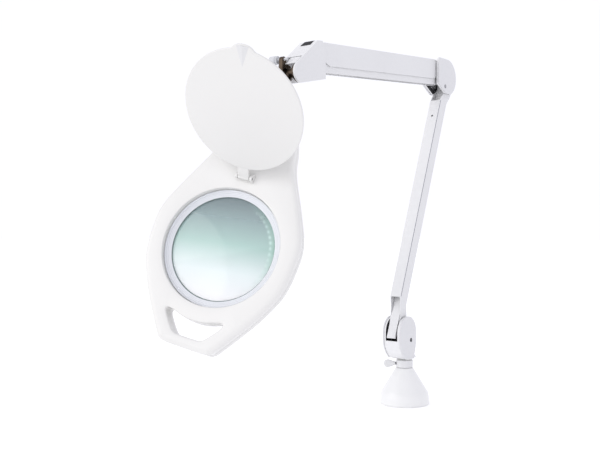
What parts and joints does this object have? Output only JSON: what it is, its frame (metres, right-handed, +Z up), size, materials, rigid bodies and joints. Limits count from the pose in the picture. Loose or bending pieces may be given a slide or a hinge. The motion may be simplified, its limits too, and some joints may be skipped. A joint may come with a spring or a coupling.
{
  "type": "magnifying lamp",
  "caption": "White magnifying lamp: cone base, swivel yoke, two sprung parallel arms and a tilting oval head with a round lens, ring light and hinged lid.",
  "frame": {"origin": "centre of the base's flat underside", "axes": "+Z up along the base swivel; +X the way the upper arm reaches at rest; +Y towards the side with the near covers"},
  "size_m": [0.5252, 0.2018, 0.494],
  "materials": {
    "base_flange": "plated steel",
    "cone_cover": "satin moulded plastic",
    "clamp_collar": "white powder coat",
    "swivel_washer": "nylon",
    "wing_screw": "satin moulded plastic",
    "swivel_pin": "plated steel",
    "yoke_housing": "white powder coat",
    "yoke_cover_near": "satin moulded plastic",
    "yoke_cover_far": "satin moulded plastic",
    "yoke_screw_near": "plated steel",
    "yoke_screw_far": "plated steel",
    "cord_gland": "matt rubber",
    "yoke_lower_stub_near": "plated steel",
    "yoke_lower_stub_far": "plated steel",
    "yoke_lower_link_pin": "plated steel",
    "lower_outer_channel": "white powder coat",
    "lower_inner_channel": "white powder coat",
    "lower_spring": "plated steel",
    "elbow_frame": "white powder coat",
    "elbow_cover_near": "satin moulded plastic",
    "elbow_cover_far": "satin moulded plastic",
    "elbow_screw_near": "plated steel",
    "elbow_screw_far": "plated steel",
    "elbow_upper_stub_near": "plated steel",
    "elbow_upper_stub_far": "plated steel",
    "elbow_lower_stub_near": "plated steel",
    "elbow_lower_stub_far": "plated steel",
    "elbow_upper_link_pin": "plated steel",
    "elbow_lower_link_pin": "plated steel",
    "upper_outer_channel": "white powder coat",
    "upper_inner_channel": "white powder coat",
    "upper_spring": "plated steel",
    "shoulder_housing": "white powder coat",
    "shoulder_upper_stub_near": "plated steel",
    "shoulder_upper_stub_far": "plated steel",
    "shoulder_upper_link_pin": "plated steel",
    "nose_pin": "plated steel",
    "knuckle": "plated steel",
    "tilt_knob": "satin moulded plastic",
    "neck_clevis": "plated steel",
    "neck_pin": "plated steel",
    "head_tongue": "plated steel",
    "head_upper_casing": "satin moulded plastic",
    "head_lower_casing": "satin moulded plastic",
    "case_screw_1": "plated steel",
    "case_screw_2": "plated steel",
    "case_screw_3": "plated steel",
    "case_screw_4": "plated steel",
    "lens": "clear ground glass",
    "lens_bezel": "satin moulded plastic",
    "led_ring": "solder-masked board",
    "light_diffuser": "opal",
    "driver_board": "solder-masked board",
    "switch_body": "plain",
    "lid_bracket": "satin moulded plastic",
    "lid_pin": "plated steel",
    "power_switch": "satin moulded plastic",
    "lid": "satin moulded plastic"
  },
  "bodies": {
    "base": {"base_flange": "base_flange", "cone_cover": "cone_cover", "clamp_collar": "clamp_collar", "swivel_washer": "swivel_washer"},
    "wing_screw": {"wing_screw": "wing_screw"},
    "yoke": {"swivel_pin": "swivel_pin", "yoke_housing": "yoke_housing", "yoke_cover_near": "yoke_cover_near", "yoke_cover_far": "yoke_cover_far", "yoke_screw_near": "yoke_screw_near", "yoke_screw_far": "yoke_screw_far", "cord_gland": "cord_gland", "yoke_lower_stub_near": "yoke_lower_stub_near", "yoke_lower_stub_far": "yoke_lower_stub_far", "yoke_lower_link_pin": "yoke_lower_link_pin"},
    "lower_arm": {"lower_outer_channel": "lower_outer_channel"},
    "lower_link": {"lower_inner_channel": "lower_inner_channel", "lower_spring": "lower_spring"},
    "elbow": {"elbow_frame": "elbow_frame", "elbow_cover_near": "elbow_cover_near", "elbow_cover_far": "elbow_cover_far", "elbow_screw_near": "elbow_screw_near", "elbow_screw_far": "elbow_screw_far", "elbow_upper_stub_near": "elbow_upper_stub_near", "elbow_upper_stub_far": "elbow_upper_stub_far", "elbow_lower_stub_near": "elbow_lower_stub_near", "elbow_lower_stub_far": "elbow_lower_stub_far", "elbow_upper_link_pin": "elbow_upper_link_pin", "elbow_lower_link_pin": "elbow_lower_link_pin"},
    "upper_arm": {"upper_outer_channel": "upper_outer_channel"},
    "upper_link": {"upper_inner_channel": "upper_inner_channel", "upper_spring": "upper_spring"},
    "shoulder": {"shoulder_housing": "shoulder_housing", "shoulder_upper_stub_near": "shoulder_upper_stub_near", "shoulder_upper_stub_far": "shoulder_upper_stub_far", "shoulder_upper_link_pin": "shoulder_upper_link_pin", "nose_pin": "nose_pin"},
    "knuckle": {"knuckle": "knuckle"},
    "tilt_knob": {"tilt_knob": "tilt_knob"},
    "neck_fork": {"neck_clevis": "neck_clevis", "neck_pin": "neck_pin"},
    "head": {"head_tongue": "head_tongue", "head_upper_casing": "head_upper_casing", "head_lower_casing": "head_lower_casing", "case_screw_1": "case_screw_1", "case_screw_2": "case_screw_2", "case_screw_3": "case_screw_3", "case_screw_4": "case_screw_4", "lens": "lens", "lens_bezel": "lens_bezel", "led_ring": "led_ring", "light_diffuser": "light_diffuser", "driver_board": "driver_board", "switch_body": "switch_body", "lid_bracket": "lid_bracket", "lid_pin": "lid_pin"},
    "power_switch": {"power_switch": "power_switch"},
    "lid": {"lid": "lid"}
  },
  "joints": [
    {"name": "base_swivel", "type": "hinge", "parent": "base", "child": "yoke", "pos_m": [0, 0, 0.06], "axis": [0, 0, 1], "range_deg": [-175, 175]},
    {"name": "wing_screw_turn", "type": "hinge", "parent": "base", "child": "wing_screw", "pos_m": [0.00386, -0.0046, 0.05565], "axis": [0.6428, -0.766, 0], "range_deg": [-90, 90]},
    {"name": "lower_arm_lean", "type": "hinge", "parent": "yoke", "child": "lower_arm", "pos_m": [0.0189, 0, 0.1107], "axis": [0, 1, 0], "range_deg": [-20, 50]},
    {"name": "lower_link_lean", "type": "hinge", "parent": "yoke", "child": "lower_link", "pos_m": [0.0274, 0, 0.1037], "axis": [0, 1, 0], "range_deg": [-20, 50]},
    {"name": "elbow_level", "type": "hinge", "parent": "lower_arm", "child": "elbow", "pos_m": [-0.11804, 0, 0.45658], "axis": [0, 1, 0], "range_deg": [-50, 20]},
    {"name": "upper_arm_drop", "type": "hinge", "parent": "elbow", "child": "upper_arm", "pos_m": [-0.088, 0, 0.4739], "axis": [0, 1, 0], "range_deg": [-45, 18]},
    {"name": "upper_link_drop", "type": "hinge", "parent": "elbow", "child": "upper_link", "pos_m": [-0.0925, 0, 0.4602], "axis": [0, 1, 0], "range_deg": [-45, 18]},
    {"name": "shoulder_level", "type": "hinge", "parent": "upper_arm", "child": "shoulder", "pos_m": [0.21311, 0, 0.45073], "axis": [0, 1, 0], "range_deg": [-18, 45]},
    {"name": "nose_tilt", "type": "hinge", "parent": "shoulder", "child": "knuckle", "pos_m": [0.2525, 0, 0.4265], "axis": [0, 1, 0], "range_deg": [-15, 60]},
    {"name": "tilt_knob_turn", "type": "hinge", "parent": "knuckle", "child": "tilt_knob", "pos_m": [0.2605, 0, 0.442], "axis": [0, 1, 0], "range_deg": [-90, 90]},
    {"name": "neck_swivel", "type": "hinge", "parent": "knuckle", "child": "neck_fork", "pos_m": [0.2681, -0.0037, 0.40696], "axis": [-0.6239, 0, 0.7815], "range_deg": [-90, 90]},
    {"name": "head_tilt", "type": "hinge", "parent": "neck_fork", "child": "head", "pos_m": [0.2681, -0.0037, 0.40696], "axis": [-0.3129, 0.9164, -0.2498], "range_deg": [-90, 45]},
    {"name": "lid_hinge", "type": "hinge", "parent": "head", "child": "lid", "pos_m": [0.32099, -0.01411, 0.30251], "axis": [-0.3129, 0.9164, -0.2498], "range_deg": [0, 131]},
    {"name": "switch_press", "type": "slide", "parent": "head", "child": "power_switch", "axis": [-0.8758, -0.3801, -0.2974], "range_m": [0, 0.0015], "stiffness_N_per_m": 400}
  ],
  "couplings": [
    {"joint": "lower_link_lean", "follows": "lower_arm_lean", "ratio": 1},
    {"joint": "elbow_level", "follows": "lower_arm_lean", "ratio": -1},
    {"joint": "upper_link_drop", "follows": "upper_arm_drop", "ratio": 1},
    {"joint": "shoulder_level", "follows": "upper_arm_drop", "ratio": -1}
  ]
}
